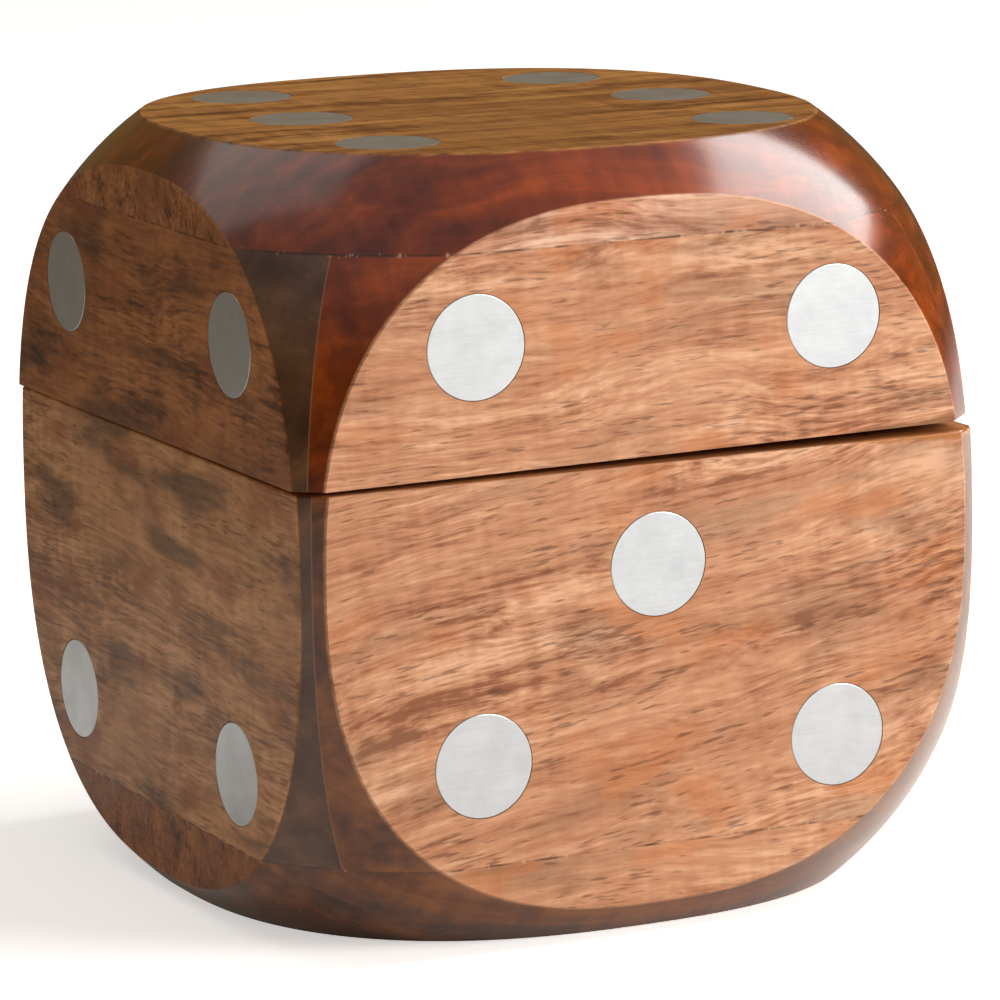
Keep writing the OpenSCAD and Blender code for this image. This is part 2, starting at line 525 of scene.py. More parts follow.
def polish(obj: bpy.types.Object, form: DieForm, heart: Vector) -> None:
    """Shade the turned corners by the swelling form itself, so that they reflect evenly.

    Args:
        obj: A board.
        form: The die's sizes.
        heart: The middle of the board's swelling form.
    """
    mesh = obj.data
    power = form.squareness
    normals = [tuple(corner.vector) for corner in mesh.corner_normals]
    slopes = {}
    for point in mesh.vertices:
        offset = point.co - heart
        size = sum(abs(c) ** power for c in offset) ** (1 / power)
        if abs(size - form.swell) < NEAR:
            slopes[point.index] = Vector([math.copysign(abs(c / size) ** (power - 1), c)
                                          for c in offset]).normalized()
    for face in mesh.polygons:
        if all(i in slopes and slopes[i].dot(face.normal) > 0.8 for i in face.vertices):
            for loop in face.loop_indices:
                normals[loop] = tuple(slopes[mesh.loops[loop].vertex_index])
        for side in Face:
            level = (face.center - heart).dot(side.outward) - form.distance(side)
            if face.normal.dot(side.outward) > 0.999 and abs(level) < 0.05 * MM:
                for loop in face.loop_indices:
                    normals[loop] = tuple(side.outward)
    mesh.normals_split_custom_set(normals)


@dataclass(frozen=True)
class Lumps:
    """A noise pattern: its lumps per millimetre along and across the grain, and its fineness."""

    along: float
    across: float
    shift: tuple[float, float, float] = (0.0, 0.0, 0.0)
    detail: float = 2.0
    roughness: float = 0.5
    distortion: float = 0.0

    def on(self, g: Graph, vector: Socket) -> Socket:
        """Lay the pattern out over a position whose grain runs along X."""
        spread = g.place(vector, scale=(self.along, self.across, self.across), shift=self.shift)
        return g.noise(spread, self.detail, self.roughness, self.distortion)


SWAY = Lumps(1 / 42, 1 / 16)
STREAKS = Lumps(1 / 11, 1.4, (3, 7, 1), 4.0, 0.6)
DASHES = Lumps(1 / 3.4, 2.6, (5, 1, 8))
RIPPLE = Lumps(1 / 2.0, 1 / 9, (2, 6, 4))
CLOUDS = Lumps(1 / 16, 1 / 8, (9, 2, 5), 3.0, 0.55, 0.6)
LIVELINESS = Lumps(1 / 30, 1 / 14, (1, 3, 6), 1.0)
STAINS = Lumps(1 / 22, 1 / 6, (31, 8, 3), 3.0)
WARM_PATCHES = Lumps(1 / 12, 1 / 7, (7, 19, 2))
PORES = Lumps(1 / 3.2, 2.6, detail=1.5)
PORE_PATCHES = Lumps(1 / 15, 1 / 5, (4, 4, 4))
WEAR = Lumps(0.3, 0.3, detail=3.0)
STRIPES = Lumps(1 / 40, 1 / 3, detail=5.0, roughness=0.6)
FIBRE = Lumps(1 / 5, 2.4, detail=3.0, roughness=0.6)
METAL_CLOUDS = Lumps(1 / 4, 1 / 4, detail=4.0, roughness=0.6)
TARNISH = Lumps(0.5, 0.5, detail=4.0, roughness=0.6)
DRAWN_LINES = Lumps(0.3, 6.0)


@dataclass(frozen=True)
class Figure:
    """How strongly each pattern shows in a piece of wood, and how far the patterns reach."""

    bands: float = 0.95
    streaks: float = 0.9
    dashes: float = 0.55
    ripple: float = 0.3
    clouds: float = 0.3
    band_width: float = 4.0
    band_length: float = 80.0
    sway: float = 10.0


@dataclass(frozen=True)
class Spot:
    """Where a wood finish is read.

    It holds the material's nodes, the position in millimetres, the same turned with the grain
    along X, the die's sizes and whether the board belongs to the lid.
    """

    g: Graph
    here: Socket
    turned: Socket
    form: DieForm
    lid: bool

    def from_joints(self) -> Socket:
        """Measure how far the point is from the level joints of the two boards.

        Returns:
            The distance in millimetres.
        """
        g = self.g
        height = g.split(self.here)[2]
        floor = g.math("ABSOLUTE", g.math("SUBTRACT", height, self.form.floor / MM))
        ceiling = g.math("ABSOLUTE", g.math("SUBTRACT", height, self.form.ceiling / MM))
        return g.math("MINIMUM", floor, ceiling)

    def from_middle(self, height: float) -> Socket:
        """Measure how far the point is from the middle of its half, along each axis.

        Args:
            height: The middle's height in millimetres.

        Returns:
            The three distances in millimetres.
        """
        middle = (self.form.lid_shift / MM if self.lid else 0.0, 0.0, height)
        return self.g.vector("ABSOLUTE", self.g.vector("SUBTRACT", self.here, middle).outputs[0])


@dataclass(frozen=True)
class WoodFinish:
    """Polished figured hardwood, as one board shows it.

    The tones run from the darkest vein to the brightest stripe: on the flats, on the turned
    corners, which the polish leaves deeper and redder and which carry painted shade too, and on
    the big flat of a top board, whose golden tones are darkened as painted shade.
    """

    name: str
    flat: tuple[str, str, str, str]
    # Corner tones: the polish's deeper red, and painted shade of the turned corners.
    corner: tuple[str, str, str]
    grain: Grain
    tilt: float = 0.0
    shift: tuple[float, float, float] = (0.0, 0.0, 0.0)
    # Tones of the top and bottom flats: the board's own golden tone, darkened as painted shade.
    top_tones_and_shade: tuple[str, str, str, str] | None = None
    stain: str = "9A7358"
    stain_share: float = 0.4
    glow: str = "D98248"
    glow_share: float = 0.35
    # Tone of the rim's bare arris: wear, with painted shade on the lid and a partly painted
    # highlight on the base.
    wear_and_painted_light: str = "B9733A"
    figure: Figure = Figure()
    pore_share: float = 0.5
    roughness: float = 0.4
    flat_gloss: float = 0.2
    dash_depth: float = 0.03 * MM
    groove_depth: float = 0.04 * MM
    pore: str = "4A2414"
    vein: str = "2A140A"
    glue: str = "2B130A"
    fleck: str = "D9B08C"
    mitre: str = "B98A68"

    def build(self, form: DieForm, lid: bool) -> bpy.types.Material:
        """Make the material.

        Args:
            form: The die's sizes, by which the corners, joints and rim are found.
            lid: Whether the board belongs to the lid.

        Returns:
            The material.
        """
        g = Graph(self.name)
        here = g.position()
        turned = g.place(here, turn=(0, self.tilt, self.grain.value), shift=self.shift)
        spot = Spot(g, here, turned, form, lid)
        level, broad, dashes = self.pattern(spot)
        pores = self.pores(spot)
        corner = self.corner_share(spot)
        colour = self.flat_colour(spot, level)
        # Turned corners take the deeper corner tones: partly the polish, partly painted shade.
        colour = g.mix(corner, colour, g.ramp(broad, list(zip((0.3, 0.5, 0.7), self.corner))))
        seen = g.math("MULTIPLY", pores, g.step(corner, 0, 1, 1.0, 0.5))
        colour = g.mix(seen, colour, linear(self.pore))
        # The rim's arris takes the bare-wood tone of its wear, painted darker as shade on the lid
        # and orange as a partly painted highlight on the base.
        colour = g.mix(self.rim_share(spot), colour, linear(self.wear_and_painted_light))
        lines = self.glue_lines(spot)
        colour = g.mix(lines, colour, linear(self.glue))
        colour = g.mix(self.filler(spot), colour, linear(self.fleck))
        colour = g.mix(self.mitre_lines(spot), colour, linear(self.mitre))
        rough = g.step(corner, 0, 1, self.roughness, self.roughness * 0.5)
        rough = g.math("ADD", rough, g.swing(dashes, 0.2))
        grooves = g.math("SUBTRACT", 1.0, g.math("MAXIMUM", pores, lines))
        normal = g.bump(dashes, self.dash_depth, g.step(corner, 0, 1, 0.5, 0.08))
        normal = g.bump(grooves, self.groove_depth, g.step(corner, 0, 1, 0.6, 0.15), under=normal)
        gloss = g.step(corner, 0, 1, self.flat_gloss, 1.0)
        return g.finish(colour, rough, normal, gloss, Specular_IOR_Level=0.2, Coat_Roughness=0.16,
                        Coat_IOR=1.5)

    def pattern(self, spot: Spot) -> tuple[Socket, Socket, Socket]:
        """Lay out the wood's pattern: bands, streaks, short dashes, ripple and clouds.

        Args:
            spot: Where the wood is read.

        Returns:
            How light the wood is, about a half in the mean, the same without the finer
            patterns, and the short dashes alone.
        """
        f, g, turned = self.figure, spot.g, spot.turned
        pull = g.vector("SCALE", (0.0, f.sway, f.sway))
        g.feed(pull.inputs["Scale"], SWAY.on(g, turned))
        swayed = g.vector("ADD", turned, pull.outputs[0]).outputs[0]
        bands = Lumps(1 / f.band_length, 1 / f.band_width, detail=3.0, roughness=0.55).on(g, swayed)
        dashes = DASHES.on(g, swayed)
        broad = 0.5
        for part, share in ((bands, f.bands), (CLOUDS.on(g, turned), f.clouds),
                            (RIPPLE.on(g, turned), f.ripple)):
            broad = g.math("ADD", g.swing(part, share), broad)
        level = broad
        for part, share in ((STREAKS.on(g, swayed), f.streaks), (dashes, f.dashes)):
            level = g.math("ADD", g.swing(part, share), level)
        lively = g.step(LIVELINESS.on(g, turned), 0.35, 0.65, 0.75, 1.6)
        return g.math("ADD", g.swing(level, lively), 0.5), broad, dashes

    def flat_colour(self, spot: Spot, level: Socket) -> Socket:
        """Colour the flats, with darker stains and warm glowing patches, with painted shade on the
        top and bottom flats and on the board's end where it shows on the left flat.

        Args:
            spot: Where the wood is read.
            level: How light the wood is.

        Returns:
            The colour.
        """
        g, form = spot.g, spot.form
        places = (0.16, 0.4, 0.6, 0.84)
        colour = g.ramp(level, list(zip(places, self.flat)))
        stained = g.step(STAINS.on(g, spot.turned), 0.5, 0.68, 0.0, self.stain_share)
        warm = g.step(WARM_PATCHES.on(g, spot.turned), 0.54, 0.7, 0.0, self.glow_share)
        shade = g.mix(g.step(level, 0.2, 0.9, 0.25, 0.0), linear(self.stain), linear(self.vein))
        colour = g.mix(warm, g.mix(stained, colour, shade), linear(self.glow))
        if self.top_tones_and_shade is None:
            return colour
        # The top and bottom flats take golden tones darkened as painted shade.
        across, _, height = g.split(spot.here)
        below_top = g.math("ABSOLUTE", g.math("SUBTRACT", height, form.height / MM))
        from_table = g.math("MINIMUM", g.math("ABSOLUTE", height), below_top)
        # Where the board shows on the left flat it takes the left wall's darker tones: painted
        # shade.
        left = -form.reaches[0] / MM
        left_flat_shade = g.step(across, left + 1, left + 2, 1.0, 0.0)
        colour = g.mix(left_flat_shade, colour, g.ramp(level, list(zip(places, LEFT_SHADE_UMBER))))
        top_tones_and_shade = g.ramp(level, list(zip(places, self.top_tones_and_shade)))
        return g.mix(g.step(from_table, 0.4, 0.8, 1.0, 0.0), colour, top_tones_and_shade)

    def pores(self, spot: Spot) -> Socket:
        """Open short dark pores that lie along the grain.

        Args:
            spot: Where the wood is read.

        Returns:
            How open the pores are, from zero to one.
        """
        g = spot.g
        patches = g.swing(PORE_PATCHES.on(g, spot.turned), 0.6)
        openness = g.math("ADD", PORES.on(g, spot.turned), patches)
        return g.math("MULTIPLY", g.step(openness, 0.62, 0.76), self.pore_share)

    def corner_share(self, spot: Spot) -> Socket:
        """Find where the surface is turned or rounded and not one of the flats.

        Args:
            spot: Where the wood is read.

        Returns:
            Zero on the flats and one on the corners.
        """
        g, form = spot.g, spot.form
        half = form.height / MM / 2
        reach = (form.reaches[0] / MM, form.reaches[1] / MM, half)
        inside = g.vector("SUBTRACT", reach, spot.from_middle(half).outputs[0])
        x, y, z = g.split(inside.outputs[0])
        return g.step(g.math("MINIMUM", g.math("MINIMUM", x, y), z), 0.04, 0.35)

    def rim_share(self, spot: Spot) -> Socket:
        """Find where the arris of the sawn rim wears down to bare wood, a band that also carries
        painted light: shade on the lid's arris, a highlight on the base's.

        Args:
            spot: Where the wood is read.

        Returns:
            How bare the wood is, from zero to one.
        """
        g, here, form = spot.g, spot.here, spot.form
        point = form.lid_rim_point if spot.lid else Vector((0, 0, form.seam))
        normal = form.lid_rim_normal if spot.lid else Vector((0, 0, 1))
        offset = g.vector("SUBTRACT", here, tuple(point / MM)).outputs[0]
        away = g.math("ABSOLUTE", g.vector("DOT_PRODUCT", offset, tuple(normal)).outputs["Value"])
        right = form.reaches[0] / MM
        handled = g.step(g.split(here)[0], right * 0.4, right, -0.6, 0.5)
        reach = g.math("SUBTRACT", away, g.swing(WEAR.on(g, here), 1.0))
        return g.step(g.math("SUBTRACT", reach, handled), 0.2, 0.7, 0.8, 0.0)

    def glue_lines(self, spot: Spot) -> Socket:
        """Draw the hair-thin dark lines between the walls and the two boards.

        Args:
            spot: Where the wood is read.

        Returns:
            How dark the line is, from zero to one.
        """
        g = spot.g
        line = g.step(spot.from_joints(), 0.04, 0.2, 1.0, 0.0)
        return g.math("MULTIPLY", line, g.step(WEAR.on(g, spot.here), 0.4, 0.62, 0.1, 0.75))

    def filler(self, spot: Spot) -> Socket:
        """Lay the pale flecks of filler beside the level joints.

        Args:
            spot: Where the wood is read.

        Returns:
            How pale the wood is, from zero to one.
        """
        g = spot.g
        flecks = g.noise(g.place(spot.here, scale=(0.9, 0.9, 0.2), shift=(6, 3, 0)), detail=2.0)
        near = g.step(spot.from_joints(), 0.12, 0.4, 1.0, 0.0)
        return g.math("MULTIPLY", near, g.step(flecks, 0.6, 0.7, 0.0, 0.5))

    def mitre_lines(self, spot: Spot) -> Socket:
        """Draw the fine pale lines of the mitres between the walls.

        Args:
            spot: Where the wood is read.

        Returns:
            How pale the line is, from zero to one.
        """
        g, form = spot.g, spot.form
        x, y, z = g.split(spot.from_middle(0.0).outputs[0])
        lean = (form.reaches[1] - form.reaches[0]) / MM
        off = g.math("ABSOLUTE", g.math("SUBTRACT", g.math("SUBTRACT", y, x), lean))
        floor, ceiling = form.floor / MM, form.ceiling / MM
        walls = g.math("MULTIPLY", g.step(z, floor, floor + 0.1),
                       g.step(z, ceiling - 0.1, ceiling, 1.0, 0.0))
        return g.math("MULTIPLY", walls, g.step(off, 0.06, 0.2, 0.3, 0.0))


@dataclass(frozen=True)
class BareWoodFinish:
    """The sawn rims and the unpolished inside of the box."""

    name: str
    tones: tuple[str, str, str]
    grain: Grain
    fibre_depth: float = 0.06 * MM

    def build(self) -> bpy.types.Material:
        """Make the material.

        Returns:
            The material.
        """
        g = Graph(self.name)
        turned = g.place(g.position(), turn=(0, 0, self.grain.value))
        fibre = FIBRE.on(g, turned)
        level = g.math("ADD", STRIPES.on(g, turned), g.swing(fibre, 0.35))
        colour = g.ramp(level, list(zip((0.3, 0.52, 0.75), self.tones)))
        rough = g.step(fibre, 0.3, 0.7, 0.5, 0.66)
        return g.finish(colour, rough, g.bump(fibre, self.fibre_depth, 0.5),
                        Specular_IOR_Level=0.35)


@dataclass(frozen=True)
class PipFinish:
    """Sanded aluminium: satin, faintly clouded, with fine scratches across it."""

    name: str
    bright: str
    dull: str
    roughness: float = 0.3
    scratch_depth: float = 0.01 * MM

    def build(self) -> bpy.types.Material:
        """Make the material.

        Returns:
            The material.
        """
        g = Graph(self.name)
        here = g.position()
        scratches = g.noise(g.place(here, turn=(0, 24, 12), scale=(0.25, 5.0, 5.0)), detail=3.0)
        level = g.math("ADD", METAL_CLOUDS.on(g, here), g.swing(scratches, 0.5))
        colour = g.ramp(level, [(0.3, self.dull), (0.7, self.bright)])
        rough = g.step(level, 0.3, 0.7, self.roughness + 0.06, self.roughness)
        return g.finish(colour, rough, g.bump(scratches, self.scratch_depth, 0.4), Metallic=1.0)


@dataclass(frozen=True)
class BrassFinish:
    """Pressed brass of the hinges, a little tarnished away from the edges."""

    name: str
    bright: str = "D9B35C"
    dull: str = "9C7431"
    roughness: float = 0.3
    line_depth: float = 0.008 * MM

    def build(self) -> bpy.types.Material:
        """Make the material.

        Returns:
            The material.
        """
        g = Graph(self.name)
        here = g.position()
        stains = TARNISH.on(g, here)
        colour = g.ramp(stains, [(0.35, self.dull), (0.6, self.bright)])
        rough = g.step(stains, 0.3, 0.7, self.roughness + 0.15, self.roughness)
        drawn = g.bump(DRAWN_LINES.on(g, here), self.line_depth, 0.5)
        return g.finish(colour, rough, drawn, Metallic=1.0)


@dataclass
class Board:
    """One board of the base or the lid, with its face of the die and its finish."""

    node: str
    face: Face
    finish: WoodFinish
    pips: str


@dataclass
class Casework:
    """The base or the lid: a half of the die, parted into five boards."""

    form: DieForm
    body: str
    lid: bool
    boards: list[Board]
    bare: dict[Grain, bpy.types.Material]

    @property
    def middle(self) -> Vector:
        """The point of the bottom plane that this half is centred on."""
        return Vector((self.form.lid_shift if self.lid else 0.0, 0, 0))

    @property
    def rim_point(self) -> Vector:
        """A point of the sawn rim."""
        return self.form.lid_rim_point if self.lid else Vector((0, 0, self.form.seam))

    @property
    def rim_normal(self) -> Vector:
        """The normal of the sawn rim, into this half."""
        return self.form.lid_rim_normal if self.lid else Vector((0, 0, -1))

    def half(self) -> bpy.types.Object:
        """Saw this half off a die-shaped blank and ease its rim.

        Returns:
            The half.
        """
        blank = die_blank(self.form, self.middle)
        saw(blank, self.rim_point, self.rim_normal)
        ease(blank, self.rim_point, self.rim_normal, self.form.arris)
        return blank

    def build(self) -> None:
        """Part the half into boards, let the pips and leaves in, and dress each board."""
        half = self.half()
        for board in self.boards:
            piece = twin(half, board.node + "_dressed")
            self.part(piece, board)
            self.let_in(piece, board)
            smooth(piece)
            polish(piece, self.form, self.middle + self.form.heart)
            self.dress(piece, board)
            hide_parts(board.node)
            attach(piece, self.body)
            log.info("%s: %d faces", piece.name, len(piece.data.polygons))
        bpy.data.objects.remove(half)

    def part(self, piece: bpy.types.Object, board: Board) -> None:
        """Saw one board out of the half.

        Args:
            piece: A copy of the half.
            board: The board.
        """
        joint = Vector((0, 0, self.form.ceiling if self.lid else self.form.floor))
        inwards = Vector((0, 0, -1 if self.lid else 1))
        out, along = board.face.outward, board.face.along
        if not board.face.upright:
            saw(piece, joint, out)
            return
        saw(piece, joint, inwards)
        corner = out * self.form.distance(board.face)
        end = along * (sum(self.form.reaches) - self.form.distance(board.face))
        for side in (1, -1):
            saw(piece, self.middle + corner + side * end, (out - side * along).normalized())
        saw(piece, self.middle + out * (self.form.distance(board.face) - self.form.wall), out)

    def let_in(self, piece: bpy.types.Object, board: Board) -> None:
        """Cut the recesses of the board's pips and, at the back, of the hinges' leaves.

        Args:
            piece: The board's piece.
            board: The board.
        """
        tool = cad_copy(board.pips, "pip_tool")
        lengthen(tool, board.face.outward, PAST_FACE)
        carve(piece, tool)
        if board.face is Face.BACK:
            for tool in leaf_tools(self.form, self.lid):
                carve(piece, tool)

    def dress(self, piece: bpy.types.Object, board: Board) -> None:
        """Give the board its polish outside and bare wood on its sawn faces.

        Args:
            piece: The board's piece.
            board: The board.
        """
        piece.data.materials.clear()
        piece.data.materials.append(board.finish.build(self.form, self.lid))
        piece.data.materials.append(self.bare[board.finish.grain])
        heart = self.middle + self.form.heart
        for face in piece.data.polygons:
            outward = face.normal.dot((face.center - heart).normalized())
            on_rim = abs((face.center - self.rim_point).dot(self.rim_normal)) < NEAR
            face.material_index = 1 if on_rim or outward < 0.2 else 0


def die_blank(form: DieForm, shift: Vector) -> bpy.types.Object:
    """Model the whole die: a swelling rounded form with six flats cut on it.

    Args:
        form: The die's sizes.
        shift: How far the blank stands off the middle.

    Returns:
        The blank.
    """
    bpy.ops.object.select_all(action="DESELECT")
    bpy.ops.mesh.primitive_cube_add(size=2)
    block = bpy.context.active_object
    sides = {face: form.distance(face) for face in Face}
    for point in block.data.vertices:
        point.co = (sides[Face.RIGHT] * point.co.x, sides[Face.BACK] * point.co.y,
                    sides[Face.TOP] if point.co.z > 0 else -sides[Face.BOTTOM])
    bpy.ops.object.select_all(action="DESELECT")
    bpy.ops.mesh.primitive_uv_sphere_add(segments=240, ring_count=120, radius=form.swell)
    blank = bpy.context.active_object
    blank.name = "die_blank"
    for point in blank.data.vertices:
        size = sum(abs(c) ** form.squareness for c in point.co) ** (1 / form.squareness)
        point.co *= form.swell / size
    carve(blank, block, "INTERSECT")
    blank.data.transform(Matrix.Translation(shift + form.heart))
    return blank


def lengthen(tool: bpy.types.Object, outward: Vector, reach: float) -> None:
    """Push the outer ends of a cutter outwards.

    Args:
        tool: The cutter.
        outward: The direction.
        reach: How far.
    """
    outermost = max(v.co.dot(outward) for v in tool.data.vertices)
    for point in tool.data.vertices:
        if point.co.dot(outward) > outermost - 0.01 * MM:
            point.co += outward * reach


def leaf_tools(form: DieForm, lid: bool) -> list[bpy.types.Object]:
    """Make the cutters of the two leaves' mortises in one rim.

    Args:
        form: The die's sizes.
        lid: Whether the rim is the lid's.

    Returns:
        One cutter for each hinge.
    """
    low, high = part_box("hinge_lid_leaves" if lid else "hinge_base_leaves")
    axis = Vector(frame["joints"][0]["pos_m"])
    thick = form.leaf_gap / 2 + form.leaf_thick
    bottom, top = (-PAST_RIM, thick) if lid else (-thick, PAST_RIM)
    depth = axis.y - low[1]
    made = []
    for centre in (-form.hinge_spread, form.hinge_spread):
        bpy.ops.object.select_all(action="DESELECT")
        place = (centre, low[1] + depth / 2, axis.z + (bottom + top) / 2)
        bpy.ops.mesh.primitive_cube_add(size=1, location=place)
        tool = bpy.context.active_object
        tool.scale = (form.hinge_length, depth, top - bottom)
        bpy.ops.object.transform_apply(location=True, rotation=True, scale=True)
        made.append(tool)
    return made


@dataclass
class PipSet:
    """The pips of one face that one body carries."""

    node: str
    face: Face
    body: str
    finish: bpy.types.Material
    fit: float = 0.05 * MM
    edge: float = 0.12 * MM

    def build(self) -> None:
        """Turn each packed disc into a pip with a softened edge, a hair clear of the wood."""
        whole = cad_copy(self.node, self.node + "_dressed")
        bpy.ops.object.mode_set(mode="EDIT")
        bpy.ops.mesh.separate(type="LOOSE")
        bpy.ops.object.mode_set(mode="OBJECT")
        discs = list(bpy.context.selected_objects)
        for disc in discs:
            self.shape(disc)
        pick(whole)
        for disc in discs:
            disc.select_set(True)
        if len(discs) > 1:
            bpy.ops.object.join()
        smooth(whole, 50.0)
        whole.data.materials.clear()
        whole.data.materials.append(self.finish)
        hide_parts(self.node)
        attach(whole, self.body)
        log.info("%s: %d discs", whole.name, len(discs))

    def shape(self, disc: bpy.types.Object) -> None:
        """Draw a disc in from its hole and bevel its outer edge.

        Args:
            disc: One disc.
        """
        out = self.face.outward
        points = disc.data.vertices
        centre = sum((v.co for v in points), Vector()) / len(points)
        top = max(v.co.dot(out) for v in points)
        for point in points:
            arm = point.co - centre
            flat = arm - out * arm.dot(out)
            point.co -= flat.normalized() * self.fit
        pick(disc)
        bpy.ops.object.mode_set(mode="EDIT")
        shape = bmesh.from_edit_mesh(disc.data)
        for face in shape.faces:
            outermost = face.calc_center_median().dot(out) > top - 0.01 * MM
            face.select = outermost and face.normal.dot(out) > 0.99
        bmesh.update_edit_mesh(disc.data)
        bpy.ops.mesh.region_to_loop()
        bpy.ops.mesh.bevel(offset=self.edge, offset_type="OFFSET", segments=2, affect="EDGES")
        bpy.ops.object.mode_set(mode="OBJECT")


@dataclass
class Hinges:
    """The two brass butt hinges: leaves, pins and nails, kept as packed."""

    finish: bpy.types.Material
    nail_finish: bpy.types.Material
    metal_nodes: tuple[str, ...] = ("hinge_base_leaves", "hinge_lid_leaves", "hinge_pins")
    nail_nodes: tuple[str, ...] = ("base_leaf_nails", "lid_leaf_nails")

    def build(self) -> None:
        """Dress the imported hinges."""
        for nodes, finish in ((self.metal_nodes, self.finish), (self.nail_nodes, self.nail_finish)):
            for node in nodes:
                obj = frame["nodes"][node]
                for slot in obj.material_slots:
                    slot.material = finish
                log.info("%s: dressed", node)


@dataclass
class Studio:
    """The floor, the lamps, the world and the camera."""

    azimuth: float = -25.54
    elevation: float = 10.85
    roll: float = -0.894
    distance: float = 736.6 * MM
    aim_height: float = 46.5 * MM
    focal_pixels: float = 5874.7
    aim_pixel: tuple[float, float] = (485.4, 488.7)
    picture: float = 1000.0
    sensor: float = 36.0
    floor_glow: float = 0.53
    mirrored_glow: float = 0.08
    plain_floor: tuple[float, ...] = (0.97, 0.97, 0.965, 1)
    near_floor: tuple[float, ...] = (0.80, 0.785, 0.76, 1)
    # Floor tone seen in reflections and bounced light far to the back left: painted shadow.
    painted_shadow_floor: tuple[float, ...] = (0.15, 0.12, 0.08, 1)
    low_sky: tuple[float, ...] = (0.13, 0.085, 0.03, 1)
    high_sky: tuple[float, ...] = (0.34, 0.335, 0.33, 1)
    sky_strength: float = 1.12

    def build(self) -> None:
        """Set up everything that is not the box."""
        self.camera()
        self.floor()
        self.world()
        self.lamps()
        bpy.context.scene.view_settings.view_transform = "Standard"

    def camera(self) -> None:
        """Place the camera where the photograph was taken from."""
        az, el, roll = (math.radians(a) for a in (self.azimuth, self.elevation, self.roll))
        back = Vector((math.sin(az) * math.cos(el), -math.cos(az) * math.cos(el), math.sin(el)))
        level = (-back).cross(Vector((0, 0, 1))).normalized()
        upright = level.cross(-back)
        right = math.cos(roll) * level + math.sin(roll) * upright
        up = -math.sin(roll) * level + math.cos(roll) * upright
        data = bpy.data.cameras.new("camera")
        camera = bpy.data.objects.new("camera", data)
        bpy.context.scene.collection.objects.link(camera)
        turn = Matrix((right, up, back)).transposed().to_4x4()
        place = Vector((0, 0, self.aim_height)) + back * self.distance
        camera.matrix_world = Matrix.Translation(place) @ turn
        data.sensor_width = self.sensor
        data.lens = self.focal_pixels / self.picture * self.sensor
        data.shift_x = (self.picture / 2 - self.aim_pixel[0]) / self.picture
        data.shift_y = (self.aim_pixel[1] - self.picture / 2) / self.picture
        data.clip_end = 20.0
        bpy.context.scene.camera = camera

    def floor(self) -> None:
        """Lay a pale floor that reads as white to the camera and keeps the box's shadow; to
        reflections and bounced light it is painted darker towards the back left, as a painted
        shadow of the box.
        """
        bpy.ops.object.select_all(action="DESELECT")
        bpy.ops.mesh.primitive_plane_add(size=12, location=(0, 0, -0.02 * MM))
        floor = bpy.context.active_object
        floor.name = "studio_floor"
        bpy.ops.object.transform_apply(location=True, rotation=True, scale=True)
        g = Graph("studio_floor_white")
        path = g.node("LightPath")
        # To reflections and bounced light the floor is painted darker towards the back left: a
        # painted shadow of the box.
        back_left = g.vector("DOT_PRODUCT", g.position(), (-0.43, 0.9, 0.0)).outputs["Value"]
        painted_shadow_mix = g.mix(g.step(back_left, 80, 330), self.near_floor, self.painted_shadow_floor)
        plain = g.mix(path.outputs["Is Camera Ray"], painted_shadow_mix, self.plain_floor)
        mirrored = g.math("MULTIPLY", path.outputs["Is Glossy Ray"], self.mirrored_glow)
        seen = g.math("MAXIMUM", path.outputs["Is Camera Ray"], mirrored)
        seen = g.math("MAXIMUM", seen, path.outputs["Is Transmission Ray"])
        strength = g.math("MULTIPLY", seen, self.floor_glow)
        diffuse = g.node("BsdfDiffuse", {"Color": plain})
        glow = g.node("Emission", {"Color": (1.0, 0.99, 0.98, 1), "Strength": strength})
        both = g.node("AddShader", {0: diffuse.outputs[0], 1: glow.outputs[0]})
        g.node("OutputMaterial", {0: both.outputs[0]})
        floor.data.materials.append(g.material)

    def world(self) -> None:
        """Give the room a soft grey light, dimmer and warmer near the horizon."""
        world = bpy.data.worlds.new("studio_room")
        bpy.context.scene.world = world
        world.use_nodes = True
        tree = world.node_tree
        background = tree.nodes["Background"]
        place = tree.nodes.new("ShaderNodeTexCoord")
        parts = tree.nodes.new("ShaderNodeSeparateXYZ")
        shade = tree.nodes.new("ShaderNodeValToRGB")
        tree.links.new(place.outputs["Generated"], parts.inputs[0])
        tree.links.new(parts.outputs[2], shade.inputs[0])
        tree.links.new(shade.outputs[0], background.inputs[0])
        stops = ((0.42, self.low_sky), (0.85, self.high_sky))
        for element, (height, colour) in zip(shade.color_ramp.elements, stops):
            element.position = height
            element.color = colour
        background.inputs[1].default_value = self.sky_strength

    def lamps(self) -> None:
        """Hang the soft boxes: at the right front, at the right and behind on the left."""
        self.soft_box("key_box", (0.62, -0.7, 0.45), 0.4, 7.5, (1.0, 0.98, 0.97))
        self.soft_box("side_box", (0.8, 0.0, 0.72), 0.6, 6.5, (1.0, 0.98, 0.96))
        self.soft_box("rear_box", (-0.3, 0.6, 0.95), 0.75, 1.2, (1.0, 0.96, 0.92))

    def soft_box(self, name: str, place: tuple[float, float, float], size: float, power: float,
                 colour: tuple[float, float, float]) -> None:
        """Hang one soft box that faces the box's middle.

        Args:
            name: The lamp's name.
            place: Where it hangs, in metres.
            size: The length of its sides.
            power: Its power in watts.
            colour: Its colour.
        """
        data = bpy.data.lights.new(name, "AREA")
        data.shape = "SQUARE"
        data.size = size
        data.energy = power
        data.color = colour
        lamp = bpy.data.objects.new(name, data)
        bpy.context.scene.collection.objects.link(lamp)
        aim = Vector((0, 0, self.aim_height)) - Vector(place)
        lamp.matrix_world = (Matrix.Translation(Vector(place))
                             @ aim.to_track_quat("-Z", "Y").to_matrix().to_4x4())


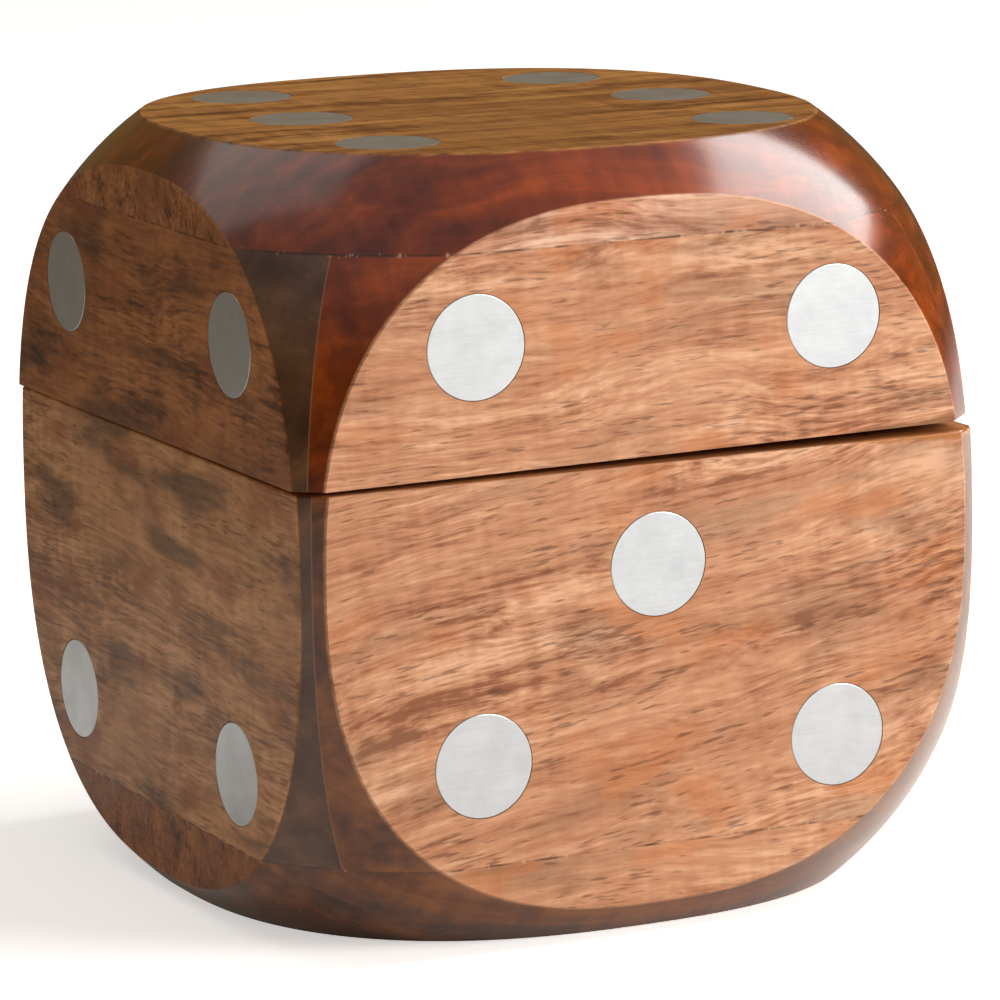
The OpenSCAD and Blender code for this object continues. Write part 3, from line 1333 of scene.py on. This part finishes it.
SALMON = ("985F40", "C48864", "D89F79", "EEBB96")
ROSE = ("A06C50", "CB9376", "DEAC8E", "F2C8AA")
# Painted shade: the lid's left wall, darker than the walls that face the lamps.
LEFT_SHADE_UMBER = ("603A20", "945C36", "AE7044", "C68450")
# Painted shade: the base's left wall, darker than the walls that face the lamps.
LEFT_SHADE_DUSK = ("8A5C3C", "BA8458", "D49C70", "E8B084")
# The top flat's golden tones, darkened as painted shade.
GOLDEN_TOP_SHADE = ("5C3010", "8A5428", "A8703A", "BC8448")
# Lid corner tones: the polish's deeper red, and painted shade of the turned corners.
CHERRY_AND_SHADE = ("541C04", "782E0A", "9C4212")
# Painted shade: the left wall's darker corner tones.
LEFT_SHADE_SMOKE = ("46281A", "60402C", "7C563A")
# Base corner tones: the polish's deeper brown, and painted shade of the turned corners.
CHESTNUT_AND_SHADE = ("4C260E", "7A441E", "9A5C2A")


def boards_of(body: str) -> list[Board]:
    """List the five boards of the base or the lid.

    Args:
        body: The body, base or lid.

    Returns:
        The boards.
    """
    lid = body == "lid"
    half = "upper" if lid else "lower"
    # Corner tones: the polish, and painted shade of the turned corners.
    corner = CHERRY_AND_SHADE if lid else CHESTNUT_AND_SHADE
    lean = 2.0 if lid else 8.0
    # Rim arris: bare wood from wear, painted darker as shade on the lid's downward arris; on the
    # base its orange is partly a painted highlight.
    wear_and_painted_light = "8A5A36" if lid else "B9733A"
    level, cross = Grain.ALONG_X, Grain.ALONG_Y
    front = WoodFinish(f"{body}_front_wood", SALMON, corner, level, lean, wear_and_painted_light=wear_and_painted_light)
    back = WoodFinish(f"{body}_back_wood", SALMON, corner, level, -4.0, (40, 70, 13), wear_and_painted_light=wear_and_painted_light)
    # The left wall's darker tones, stains, patches and corners are painted shade of the side away
    # from the lamps.
    left = WoodFinish(f"{body}_left_wood", LEFT_SHADE_UMBER if lid else LEFT_SHADE_DUSK, LEFT_SHADE_SMOKE, cross, 4.0,
                      (15, 50, 31), stain="3C281C", stain_share=0.6, glow="9C5830",
                      glow_share=0.6, wear_and_painted_light=wear_and_painted_light,
                      figure=Figure(bands=0.5, clouds=0.9 if lid else 0.55))
    right = WoodFinish(f"{body}_right_wood", SALMON, corner, cross, -5.0, (25, 90, 47), wear_and_painted_light=wear_and_painted_light)
    # The top board's flat takes golden tones darkened as painted shade.
    flat = WoodFinish(f"{body}_board_wood", ROSE if lid else SALMON, corner, level, 0.0,
                      (60, 20, 9), top_tones_and_shade=GOLDEN_TOP_SHADE, stain="6A4022",
                      figure=Figure(dashes=0.4, band_length=110.0))
    rear_pips = "back_upper_pip" if lid else "back_lower_pip"
    flat_face = Face.TOP if lid else Face.BOTTOM
    flat_node = "lid_top_board" if lid else "base_bottom_board"
    flat_pips = "top_pips" if lid else "bottom_pip"
    return [
        Board(f"{body}_front_wall", Face.FRONT, front, f"front_{half}_pips"),
        Board(f"{body}_right_wall", Face.RIGHT, right, f"right_{half}_pips"),
        Board(f"{body}_back_wall", Face.BACK, back, rear_pips),
        Board(f"{body}_left_wall", Face.LEFT, left, f"left_{half}_pips"),
        Board(flat_node, flat_face, flat, flat_pips),
    ]


def main() -> None:
    """Build the box piece by piece and set up the studio."""
    logging.basicConfig(level=logging.INFO, format="%(name)s: %(message)s")
    form = DieForm.of_frame()
    Studio().build()
    bare = {grain: BareWoodFinish("bare_wood_" + grain.name.lower(), ("7A4522", "B0713F", "CF9460"),
                                  grain).build() for grain in Grain}
    pip_finish = PipFinish("pip_aluminium", "E8EDF2", "DADFE5").build()
    for body, lid in (("base", False), ("lid", True)):
        boards = boards_of(body)
        Casework(form, body, lid, boards, bare).build()
        for board in boards:
            PipSet(board.pips, board.face, body, pip_finish).build()
    nail_brass = BrassFinish("nail_brass", "C9A050", "8A6428").build()
    Hinges(BrassFinish("hinge_brass").build(), nail_brass).build()


if __name__ == "__main__":
    main()
